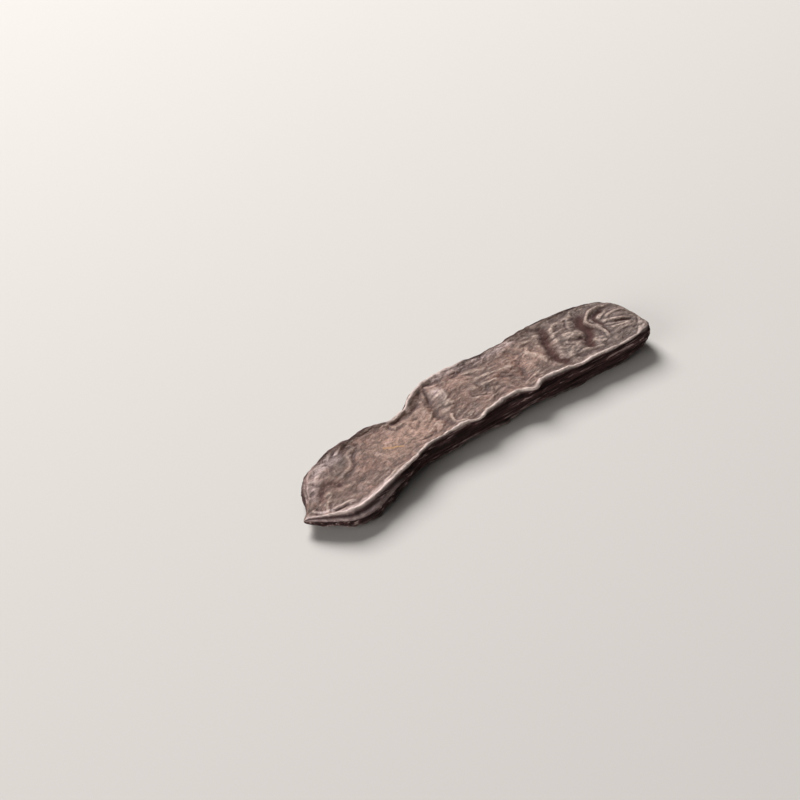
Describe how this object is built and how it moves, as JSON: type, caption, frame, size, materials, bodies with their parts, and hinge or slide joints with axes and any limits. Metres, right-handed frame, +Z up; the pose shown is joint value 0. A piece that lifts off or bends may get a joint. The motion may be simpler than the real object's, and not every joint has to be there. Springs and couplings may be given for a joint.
{
  "type": "carob pod",
  "caption": "Dried carob pod: a flat, slightly bowed strap of leathery husk with raised rims and wrinkled sunken faces, lying on one face.",
  "frame": {"origin": "on the floor under the middle of the pod's box", "axes": "+X along the pod, from the pointed beak to the blunt stalk end; +Y across it, towards the bowed-out edge; +Z up, out of the face that shows in the picture"},
  "size_m": [0.1654, 0.0418, 0.0106],
  "materials": {
    "dried_husk": "dry, slightly waxy skin, satin on the rims and matt in the hollows"
  },
  "bodies": {
    "root": {"carob_pod": "dried_husk"}
  },
  "joints": []
}
